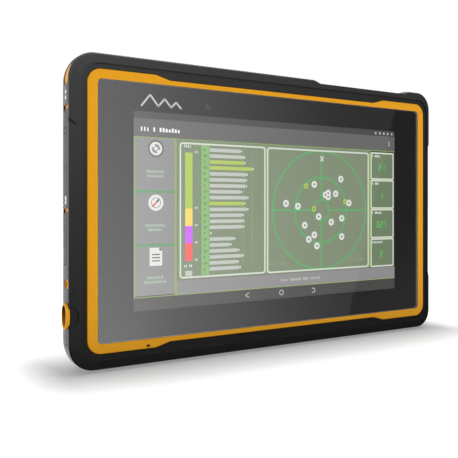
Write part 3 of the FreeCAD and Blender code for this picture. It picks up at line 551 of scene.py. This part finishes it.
def base_areas():
    base = Layer("screen_dark_bars", srgb(66, 66, 65), BASE_LEVEL)
    base.box(0, 1, 0, 1)
    base.finish()
    title = Layer("screen_title_bar", srgb(98, 97, 97), AREA_LEVEL)
    title.box(0, 1, STATUS_BOTTOM, TITLE_BOTTOM - EDGE)
    title.finish()
    column = Layer("screen_menu_column", srgb(140, 138, 139), AREA_LEVEL)
    column.box(EDGE, COLUMN_RIGHT - HALF_LINE, TITLE_BOTTOM, COLUMN_BREAKS[2])
    column.box(COLUMN_RIGHT + HALF_LINE, 1, CHART[3] + 2 * EDGE, STRIP_BOTTOM - EDGE)
    column.finish()


def panels():
    area = Layer("screen_panels", srgb(124, 137, 111), AREA_LEVEL)
    area.box(COLUMN_RIGHT + EDGE, READOUT[0] - EDGE / 2, TITLE_BOTTOM + 0.001, CHART[3] + 0.007)
    area.finish()
    boxes = Layer("screen_readout_boxes", srgb(110, 128, 99), AREA_LEVEL)
    for top, bottom in zip(READOUT_BREAKS, READOUT_BREAKS[1:]):
        boxes.box(*READOUT, top, bottom - HALF_LINE)
    boxes.finish()


def borders():
    pale = Layer("screen_pale_green_lines", srgb(142, 170, 95), LINE_LEVEL)
    pale.box(COLUMN_RIGHT - HALF_LINE, COLUMN_RIGHT + HALF_LINE, TITLE_BOTTOM, STRIP_BOTTOM)
    pale.box(0.0, 1.0, TITLE_BOTTOM - EDGE, TITLE_BOTTOM)
    pale.box(0.0, 1.0, STRIP_BOTTOM - EDGE, STRIP_BOTTOM)
    pale.box(0.0, EDGE, TITLE_BOTTOM, STRIP_BOTTOM)
    pale.box(CHART[1] + 0.001, SKY[0] - 0.001, CHART[2], CHART[3])
    pale.box(SKY[1] + 0.001, READOUT[0] - 0.001, SKY[2], SKY[3])
    for u in (0.3605, 0.392):
        pale.box(u, u + 0.0015, 0.19, 0.80)
    pale.finish()
    white = Layer("screen_white_outlines", srgb(214, 219, 206), MARK_LEVEL)
    line = 0.75 * MM
    corner = 1.6 * MM
    white.outline(*CHART, line, corner)
    white.outline(*SKY, line, corner)
    for top, bottom in zip(READOUT_BREAKS, READOUT_BREAKS[1:]):
        white.outline(*READOUT, top + EDGE / 2, bottom, line, corner / 2)
    white.finish()


def slanted(layer, x, z, start, end, slope, width):
    """A line at 45 degrees near x, z. Its ends and width are in millimetres."""
    layer.line(
        x + start * MM, z + slope * start * MM, x + end * MM, z + slope * end * MM, width * MM
    )


def satellite_icon(light, dark, x, z):
    light.ring(x, z, 2.5 * MM, 0.9 * MM, 32)
    dark.ring(x, z, 3.5 * MM, 0.6 * MM, 32)
    for along in (-1.3, 0.0, 1.3):
        slanted(light, x, z, along - 0.5, along + 0.5, -1, 1.5)


def compass_icon(light, dark, x, z):
    light.disc(x, z, 3.6 * MM, 32)
    slanted(dark, x, z, 1.5, 0.1, 1, 0.9)
    dark.ring(x, z, 2.2 * MM, 0.25 * MM, 32)


def page_icon(light, dark, x, z):
    """A sheet with a folded corner and three lines of writing."""
    page = [(-3.0, -4.0), (3.0, -4.0), (3.0, 2.6), (1.6, 4.0), (-3.0, 4.0)]
    fold = [(1.6, 4.0), (1.6, 2.6), (3.0, 2.6)]
    light.shape([(x + px * MM, z + pz * MM) for px, pz in page])
    dark.shape([(x + px * MM, z + pz * MM) for px, pz in fold])
    for row in (1.0, -0.4, -1.8):
        dark.line(x - 1.9 * MM, z + row * MM, x + 1.9 * MM, z + row * MM, 0.55 * MM)


def menu_column():
    green = Layer("screen_menu_dividers", srgb(96, 150, 104), LINE_LEVEL)
    for v in COLUMN_BREAKS[:2]:
        green.box(EDGE, COLUMN_RIGHT - HALF_LINE, v - 0.007, v + 0.007)
    green.finish()
    text = Layer("screen_menu_words", srgb(176, 208, 178), TEXT_LEVEL)
    for v, upper, lower in ((0.300, 9, 8), (0.572, 10, 7), (0.836, 8, 11)):
        text.words(COLUMN_RIGHT / 2 + 0.002, v, (upper,), 1.25 * MM, centred=True)
        text.words(COLUMN_RIGHT / 2 + 0.002, v + 0.022, (lower,), 1.25 * MM, centred=True)
    text.finish()
    icons = Layer("screen_menu_icons", srgb(222, 222, 218), DETAIL_LEVEL)
    dark = Layer("screen_icon_marks", srgb(96, 94, 94), TEXT_LEVEL)
    centres = [(icons.x(0.068), icons.z(v)) for v in (0.184, 0.458, 0.7315)]
    satellite_icon(icons, dark, *centres[0])
    compass_icon(icons, dark, *centres[1])
    page_icon(icons, dark, *centres[2])
    icons.finish()
    dark.finish()
    needle = Layer("screen_compass_needle", srgb(226, 92, 74), TEXT_LEVEL)
    slanted(needle, *centres[1], -1.5, -0.1, 1, 0.9)
    needle.finish()


SCALE_BANDS = [
    ("screen_scale_lime", srgb(174, 196, 84), 0.196, 0.488),
    ("screen_scale_yellow", srgb(243, 211, 98), 0.488, 0.579),
    ("screen_scale_purple", srgb(201, 92, 246), 0.579, 0.669),
    ("screen_scale_red", srgb(246, 90, 88), 0.669, 0.7605),
]
FIRST_ROW = 0.177
ROW_PITCH = 0.0316
BAR_LEFT = 0.2427
BAR_HALF = 0.0095
BAR_LENGTHS = [0.107, 0.118, 0.119, 0.150, 0.128, 0.125, 0.125, 0.107, 0.130, 0.119, 0.130]
BAR_LENGTHS += [0.113, 0.115, 0.115, 0.0, 0.083, 0.069, 0.097, 0.113, 0.095, 0.103]
LIME_ROWS = (2, 3, 9)


def signal_bar(layer, row):
    v = FIRST_ROW + ROW_PITCH * row
    layer.box(BAR_LEFT, BAR_LEFT + BAR_LENGTHS[row], v - BAR_HALF, v + BAR_HALF)


def signal_chart():
    """The colour scale, the numbered column and the row of signal bars."""
    bars = Layer("screen_signal_bars", srgb(189, 192, 185), MARK_LEVEL)
    numbers = Layer("screen_number_column", srgb(134, 182, 112), LINE_LEVEL)
    marks = Layer("screen_number_marks", srgb(84, 112, 80), MARK_LEVEL)
    ends = Layer("screen_bar_ends", srgb(232, 234, 228), TEXT_LEVEL)
    numbers.box(0.215, 0.241, 0.1535, 0.839)
    for band_name, colour, top, bottom in SCALE_BANDS:
        part = Layer(band_name, colour, MARK_LEVEL)
        part.box(0.161, 0.185, top, bottom)
        for row in LIME_ROWS if band_name == "screen_scale_lime" else ():
            signal_bar(part, row)
        part.finish()
    for row, length in enumerate(BAR_LENGTHS):
        if length and row not in LIME_ROWS:
            signal_bar(bars, row)
        v = FIRST_ROW + ROW_PITCH * row
        marks.words(0.2235, v, (1 + row % 2,), 1.3 * MM)
        ends.box(BAR_LEFT + length + 0.0018, BAR_LEFT + length + 0.0058, v - 0.006, v + 0.005)
    for tick in (0.192, 0.484, 0.575, 0.665, 0.756):
        ends.words(0.194, tick, (2,), 1.0 * MM)
    ends.words(0.158, 0.163, (4,), 1.2 * MM)
    ends.words(0.158, 0.787, (2, 2), 1.1 * MM)
    bars.box(0.1615, 0.1845, 0.812, 0.84)
    bars.finish()
    numbers.finish()
    marks.finish()
    ends.finish()


# Places in the round plot, right and down from its middle, as shares of its radius
SATELLITES = [
    (0.425, -0.53), (-0.15, -0.43), (0.146, -0.287), (0.087, -0.255), (0.146, -0.223),
    (0.31, -0.277), (0.607, -0.12), (-0.73, -0.11), (-0.49, -0.064), (-0.057, 0.11),
    (0.214, 0.206), (0.444, 0.143), (-0.35, 0.25), (-0.149, 0.415), (-0.266, 0.485),
    (-0.095, 0.60), (0.444, 0.457),
]
NORTH_STROKES = [(-1.0, -1.2, 1.1, 1.4), (-1.0, 1.4, -0.1, 0.4), (0.2, -0.3, 1.0, -1.2)]
WEAK_SATELLITES = [(-0.32, -0.40), (0.52, -0.143), (-0.157, -0.02)]


def sky_plot():
    """The round plot of the satellites in view."""
    green = Layer("screen_sky_rings", srgb(74, 182, 100), LINE_LEVEL)
    x, z = green.x(SKY_CENTRE[0]), green.z(SKY_CENTRE[1])
    width = 0.62 * MM
    for radius in SKY_RADII:
        green.ring(x, z, radius - width / 2, width, 72)
    outer, _, small = SKY_RADII
    for dx, dz in ((1, 0), (-1, 0), (0, 1), (0, -1)):
        far = outer - width
        green.line(x + dx * small, z + dz * small, x + dx * far, z + dz * far, width)
    green.finish()
    dots = Layer("screen_satellites", srgb(220, 220, 217), DETAIL_LEVEL)
    pips = Layer("screen_satellite_marks", srgb(112, 118, 110), TEXT_LEVEL)
    for index, (dx, dz) in enumerate(SATELLITES):
        px, pz = x + dx * outer, z - dz * outer
        dots.disc(px, pz, 1.8 * MM)
        pips.disc(px, pz, 0.55 * MM, 10)
    north_x, north_z = x + 0.4 * MM, z + outer * 0.86
    for x0, z0, x1, z1 in NORTH_STROKES:
        dots.line(
            north_x + x0 * MM, north_z + z0 * MM, north_x + x1 * MM, north_z + z1 * MM, 0.6 * MM
        )
    dots.finish()
    pips.finish()
    weak = Layer("screen_weak_satellites", srgb(188, 200, 66), DETAIL_LEVEL)
    for dx, dz in WEAK_SATELLITES:
        weak.ring(x + dx * outer, z - dz * outer, 1.0 * MM, 0.7 * MM, 20)
    weak.finish()


SEGMENTS = {"1": "bc", "2": "abged", "0": "abcdef", "7": "abc"}


def digit(layer, character, x, z, height):
    """A plain seven-segment digit, its lower left corner at x, z."""
    wide = height * 0.5
    half = height / 2
    places = {
        "a": (x, z + height, x + wide, z + height),
        "b": (x + wide, z + height, x + wide, z + half),
        "c": (x + wide, z + half, x + wide, z),
        "d": (x, z, x + wide, z),
        "e": (x, z, x, z + half),
        "f": (x, z + half, x, z + height),
        "g": (x, z + half, x + wide, z + half),
    }
    for segment in SEGMENTS[character]:
        layer.line(*places[segment], height * 0.16)


def readouts():
    digits = Layer("screen_readout_digits", srgb(84, 200, 98), TEXT_LEVEL)
    height = 2.9 * MM
    for index, number in enumerate(("21", "1", "027", "2")):
        middle = (READOUT_BREAKS[index] + READOUT_BREAKS[index + 1]) / 2 + 0.008
        x = digits.x(0.938) - height * 0.4 * len(number)
        for character in number:
            digit(digits, character, x, digits.z(middle) - height / 2, height)
            x += height * 0.85
    digits.finish()
    words = Layer("screen_white_words", srgb(238, 239, 236), TEXT_LEVEL)
    for index, counts in enumerate(((1, 4), (1, 3), (1, 5), (8,))):
        words.words(READOUT[0] + 0.008, READOUT_BREAKS[index] + 0.025, counts, 1.25 * MM)
    words.words(0.022, 0.088, (3, 1, 7), 1.9 * MM)
    for v in (0.068, 0.079, 0.090):
        words.box(0.970, 0.9735, v, v + 0.006)
    words.finish()
    faint = Layer("screen_faint_words", srgb(142, 150, 134), TEXT_LEVEL)
    faint.words(SKY[0] + 0.008, 0.80, (3, 1, 3), 1.5 * MM)
    faint.words(SKY[1] - 0.088, 0.80, (5, 3), 1.5 * MM)
    faint.finish()
    strip = Layer("screen_strip_words", srgb(190, 190, 186), TEXT_LEVEL)
    strip.words(0.583, 0.896, (4, 6, 3, 6), 1.45 * MM, centred=True)
    for u in (0.905, 0.925, 0.944, 0.962, 0.982):
        strip.box(u, u + 0.0065, 0.012, 0.026)
    strip.finish()


def navigation_icons():
    icons = Layer("screen_navigation_icons", srgb(188, 188, 186), TEXT_LEVEL)
    width = 0.42 * MM
    x, z = icons.x(0.376), icons.z(0.965)
    icons.line(x - 1.2 * MM, z, x + 0.9 * MM, z + 1.2 * MM, width)
    icons.line(x - 1.2 * MM, z, x + 0.9 * MM, z - 1.2 * MM, width)
    x, z = icons.x(0.504), icons.z(0.966)
    icons.ring(x, z, 1.15 * MM, width, 24)
    x, z = icons.x(0.632), icons.z(0.968)
    icons.line(x - 0.9 * MM, z + 1.0 * MM, x + 0.7 * MM, z + 1.0 * MM, width)
    icons.line(x + 0.9 * MM, z + 1.0 * MM, x + 0.9 * MM, z - 1.0 * MM, width)
    icons.line(x - 0.9 * MM, z - 1.0 * MM, x + 0.7 * MM, z - 1.0 * MM, width)
    icons.finish()


# ---- printed marks -----------------------------------------------------------------------------


def glass_emblem():
    """A plain mark of three hill contours in the black border, above the screen's left end."""
    y0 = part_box("glass_border")[0].y - 0.04 * MM
    y1 = y0 + 0.03 * MM
    bm = bmesh.new()
    left = SCREEN_X - 74.0 * MM
    low = SCREEN_Z + 45.9 * MM
    width = 0.8 * MM
    for start, half, peak in ((4.2, 4.2, 5.2), (11.2, 3.4, 3.9), (16.8, 2.6, 2.8)):
        x = left + start * MM
        top = low + peak * MM
        slab(bm, stroke(x - half * MM, low, x, top, width), y0, y1)
        slab(bm, stroke(x, top, x + half * MM, low, width), y0, y1)
    make_piece("glass_emblem", bm, EMBLEM, "tablet")


MARK_PROUD = 0.03 * MM
MARK_SUNK = 0.25 * MM
# Piece, body, material, and for each mark its height above the screen's middle, half depth and
# half height, in millimetres
UPPER_FLAP, LOWER_FLAP = "port_cover_upper_flap", "port_cover_lower_flap"
UPPER_SIGNS = [(33.6, 0.5, 1.1), (31.0, 0.5, 0.6), (17.6, 0.5, 0.9), (15.6, 0.5, 0.6)]
LOWER_SIGNS = [(-3.6, 0.45, 0.9), (-7.2, 0.5, 0.7), (-9.2, 0.5, 0.6), (-11.2, 0.5, 0.7)]
LOWER_SIGNS += [(-13.2, 0.5, 0.6)]
SIDE_MARKS = [
    ("side_print", "tablet", PRINT, [(49.4, 0.8, 0.9), (47.0, 0.8, 0.9)]),
    ("cover_print", UPPER_FLAP, PRINT, [(5.4, 1.0, 1.0), (3.7, 1.0, 0.9)]),
    ("upper_cover_signs", UPPER_FLAP, BLACK, UPPER_SIGNS),
    ("lower_cover_signs", LOWER_FLAP, BLACK, LOWER_SIGNS),
    ("side_signs", "tablet", BLACK, [(-51.8, 0.4, 1.4), (-55.0, 0.4, 0.8)]),
]


def side_marks():
    """Small printed port marks on the left side: light dots and dark signs."""
    skin_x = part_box("port_cover_upper")[0].x
    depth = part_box("trim_ring")[0].y + 4.0 * MM
    for name, body, material, places in SIDE_MARKS:
        bm = bmesh.new()
        for height, half_deep, half_tall in places:
            z = SCREEN_Z + height * MM
            x0, x1 = depth - half_deep * MM, depth + half_deep * MM
            radius = 0.9 * min(half_deep, half_tall) * MM
            outline = rounded(x0, x1, z - half_tall * MM, z + half_tall * MM, radius)
            near = [bm.verts.new((skin_x - MARK_PROUD, y, z)) for y, z in outline]
            far = [bm.verts.new((skin_x + MARK_SUNK, y, z)) for y, z in outline]
            bm.faces.new(near)
            bm.faces.new(far[::-1])
            for i in range(len(outline)):
                j = (i + 1) % len(outline)
                bm.faces.new((near[j], near[i], far[i], far[j]))
        make_piece(name, bm, material, body)


# ---- studio ------------------------------------------------------------------------------------


CAMERA_LEFT = 181.76 * MM
CAMERA_AWAY = 256.97 * MM
CAMERA_UP = 2.42 * MM
CAMERA_TURN = -30.52
CAMERA_SHIFT = -0.05122


def camera():
    """Level with the screen, in front of its left end, turned 30.5 degrees to the right."""
    data = bpy.data.cameras.new("camera")
    data.sensor_width = 36.0
    data.lens = 50.0
    data.shift_y = CAMERA_SHIFT
    data.clip_start = 0.01
    obj = bpy.data.objects.new("camera", data)
    bpy.context.scene.collection.objects.link(obj)
    obj.location = (SCREEN_X - CAMERA_LEFT, GLASS_FRONT - CAMERA_AWAY, SCREEN_Z + CAMERA_UP)
    obj.rotation_euler = (math.radians(90.0), 0.0, math.radians(CAMERA_TURN))
    bpy.context.scene.camera = obj


def area_light(name, location, target, size, watts):
    data = bpy.data.lights.new(name, "AREA")
    data.shape = "RECTANGLE"
    data.size, data.size_y = size
    data.energy = watts
    obj = bpy.data.objects.new(name, data)
    bpy.context.scene.collection.objects.link(obj)
    obj.location = location
    obj.rotation_euler = (Vector(target) - Vector(location)).to_track_quat("-Z", "Y").to_euler()
    return obj


FLOOR_HALF = 12.0
FLOOR_THICK = 0.01
# Painted shadow on the floor: how far from the object its colour stays darker, and how far its
# painted glow keeps rising
PAINTED_SHADOW_REACH = 0.055
PAINTED_GLOW_REACH = 0.06


def floor():
    """A pale floor with a painted shadow: its colour is darker near the object, and it glows, which
    is painted light, less near the object.
    This keeps the painted shadow under the raised front edge soft and lets the floor fade to white
    a short way off."""
    bm = bmesh.new()
    slab(bm, rectangle(-FLOOR_HALF, FLOOR_HALF, -FLOOR_HALF, FLOOR_HALF), 0, FLOOR_THICK)
    for vert in bm.verts:
        vert.co = (vert.co.x, vert.co.z, -vert.co.y)
    bmesh.ops.recalc_face_normals(bm, faces=bm.faces)
    mesh = bpy.data.meshes.new("floor")
    bm.to_mesh(mesh)
    bm.free()
    obj = bpy.data.objects.new("floor", mesh)
    bpy.context.scene.collection.objects.link(obj)
    obj.location.z = cad_box[0].z
    paper = surface(
        "pale_floor_painted_shadow", srgb(250, 250, 250), 0.9, grain=40.0, bump=0.0, vary=0.005, shine=0.0
    )
    shader = next(node for node in paper.node_tree.nodes if node.type == "BSDF_PRINCIPLED")
    tree = paper.node_tree
    x, y, _ = object_axes(tree)
    distance = None
    for value, half, weight in ((x, cad_box[1].x, 1.6), (y, cad_box[1].y, 1.0)):
        away = math_node(tree, "SUBTRACT", math_node(tree, "ABSOLUTE", value), half)
        away = math_node(tree, "MULTIPLY", away, weight)
        share = math_node(tree, "POWER", math_node(tree, "MAXIMUM", away, 0.0), 2.0)
        distance = share if distance is None else math_node(tree, "ADD", distance, share)
    distance = math_node(tree, "SQRT", distance)
    # Painted shadow: the floor's colour is mixed toward dark grey near the object
    near = tree.nodes.new("ShaderNodeMix")
    near.data_type = "RGBA"
    near.inputs["A"].default_value = (0.25, 0.25, 0.25, 1.0)
    tree.links.new(shader.inputs["Base Color"].links[0].from_socket, near.inputs["B"])
    tree.links.new(remap(tree, distance, 0.0, 1.0, 0.0, PAINTED_SHADOW_REACH), near.inputs["Factor"])
    tree.links.new(near.outputs["Result"], shader.inputs["Base Color"])
    # Painted light: the floor glows, rising from 0.28 near the object to 0.46 further off
    shader.inputs["Emission Color"].default_value = (1.0, 1.0, 1.0, 1.0)
    painted_glow = remap(tree, distance, 0.28, 0.46, 0.0, PAINTED_GLOW_REACH)
    tree.links.new(painted_glow, shader.inputs["Emission Strength"])
    paint(obj, paper)
    obj.visible_glossy = False


def blend_values(tree, factor, first, second):
    node = tree.nodes.new("ShaderNodeMix")
    for name, value in (("Factor", factor), ("A", first), ("B", second)):
        socket = node.inputs[name]
        if isinstance(value, (int, float)):
            socket.default_value = value
        else:
            tree.links.new(value, socket)
    return node.outputs["Result"]


SOFT_LIGHT = 0.72


def world():
    """White to the camera and a soft white light. In rough reflections it is bright behind on the
    left, above in front, and in a level patch on the right, and dark below in front. A mirror
    sees it nearly dark, a little brighter low down."""
    scene_world = bpy.data.worlds.new("studio")
    bpy.context.scene.world = scene_world
    scene_world.use_nodes = True
    tree = scene_world.node_tree
    tree.nodes.clear()
    output = tree.nodes.new("ShaderNodeOutputWorld")
    background = tree.nodes.new("ShaderNodeBackground")
    background.inputs["Color"].default_value = (1.0, 1.0, 1.0, 1.0)
    path = tree.nodes.new("ShaderNodeLightPath")
    place = tree.nodes.new("ShaderNodeTexCoord")
    split = tree.nodes.new("ShaderNodeSeparateXYZ")
    tree.links.new(place.outputs["Generated"], split.inputs["Vector"])
    upper = remap(tree, split.outputs["Z"], 0.05, 1.5, -0.1, 0.22)
    leftward = remap(tree, split.outputs["X"], 1.0, 0.12, 0.25, 0.8)
    ahead = math_node(tree, "MULTIPLY", upper, leftward)
    behind = remap(tree, split.outputs["Y"], 0.0, 1.0, 0.0, 0.6)
    back = remap(tree, split.outputs["X"], 1.55, 0.5, -0.1, 0.15)
    level = math_node(tree, "LESS_THAN", math_node(tree, "ABSOLUTE", split.outputs["Z"]), 0.2)
    side = math_node(tree, "MULTIPLY", remap(tree, split.outputs["X"], 0.0, 0.8, 0.6, 0.75), level)
    glossy = blend_values(tree, behind, ahead, math_node(tree, "ADD", back, side))
    low_light = remap(tree, split.outputs["Z"], 0.43, 0.25, -0.17, -0.02)
    mirrored = blend_values(tree, path.outputs["Is Singular Ray"], glossy, low_light)
    unseen = blend_values(tree, path.outputs["Is Glossy Ray"], SOFT_LIGHT, mirrored)
    seen = blend_values(tree, path.outputs["Is Camera Ray"], unseen, 1.0)
    tree.links.new(seen, background.inputs["Strength"])
    tree.links.new(background.outputs["Background"], output.inputs["Surface"])


CARD_AWAY = 1.0
CARD_THICK = 0.01
CARD_STRENGTH = 5.3
CARD_OUTLINE = [(-0.3, -0.5), (0.83, -0.5), (1.18, 0.65), (-0.3, 0.65)]
# Brightness of the card along its length, from its bright end to its right end
CARD_FADE = [(0.0, 0.96), (0.11, 0.93), (0.29, 0.63), (0.40, 0.50), (0.52, 0.355), (0.64, 0.24)]
CARD_FADE += [(0.76, 0.17), (0.88, 0.15), (1.0, 0.12)]


def reflector():
    """A card in front on the right that only mirrors see: brightest near its left end, fading to
    both sides, and cut along a slanted edge."""
    y = GLASS_FRONT - CARD_AWAY
    bm = bmesh.new()
    slab(bm, CARD_OUTLINE, y - CARD_THICK, y)
    bmesh.ops.recalc_face_normals(bm, faces=bm.faces)
    mesh = bpy.data.meshes.new("reflector")
    bm.to_mesh(mesh)
    bm.free()
    obj = bpy.data.objects.new("reflector", mesh)
    bpy.context.scene.collection.objects.link(obj)
    material, tree, output = new_material("reflector")
    x, _, z = object_axes(tree)
    fade = tree.nodes.new("ShaderNodeFloatCurve")
    tree.links.new(remap(tree, x, 0.0, 1.0, 0.15, 1.15), fade.inputs["Value"])
    curve = fade.mapping.curves[0]
    curve.points[0].location = CARD_FADE[0]
    curve.points[1].location = CARD_FADE[-1]
    for stop in CARD_FADE[1:-1]:
        curve.points.new(*stop)
    fade.mapping.update()
    lower = remap(tree, z, 0.88, 0.65, -0.25, 0.32)
    strength = math_node(tree, "MULTIPLY", fade.outputs["Value"], lower)
    strength = math_node(tree, "MULTIPLY", strength, CARD_STRENGTH)
    strength = math_node(tree, "MULTIPLY", strength, remap(tree, x, 0.04, 1.0, 0.05, 0.245))
    emission = tree.nodes.new("ShaderNodeEmission")
    tree.links.new(strength, emission.inputs["Strength"])
    nothing = tree.nodes.new("ShaderNodeBsdfTransparent")
    path = tree.nodes.new("ShaderNodeLightPath")
    mix = tree.nodes.new("ShaderNodeMixShader")
    tree.links.new(path.outputs["Is Singular Ray"], mix.inputs["Fac"])
    tree.links.new(nothing.outputs["BSDF"], mix.inputs[1])
    tree.links.new(emission.outputs["Emission"], mix.inputs[2])
    tree.links.new(mix.outputs["Shader"], output.inputs["Surface"])
    paint(obj, material)
    obj.visible_camera = False
    obj.visible_diffuse = False
    obj.visible_shadow = False


OVERHEAD_PLACE = (0.0, 0.1, 1.3)
OVERHEAD_TARGET = (0.0, 0.05, 0.0)
OVERHEAD_SIZE = (1.6, 1.2)
OVERHEAD_WATTS = 14.0


def lights():
    area_light("overhead", OVERHEAD_PLACE, OVERHEAD_TARGET, OVERHEAD_SIZE, OVERHEAD_WATTS)


finish_cad_nodes()
base_areas()
panels()
borders()
menu_column()
signal_chart()
sky_plot()
readouts()
navigation_icons()
glass_emblem()
side_marks()
floor()
world()
reflector()
lights()
camera()
bpy.context.scene.view_settings.view_transform = "Standard"
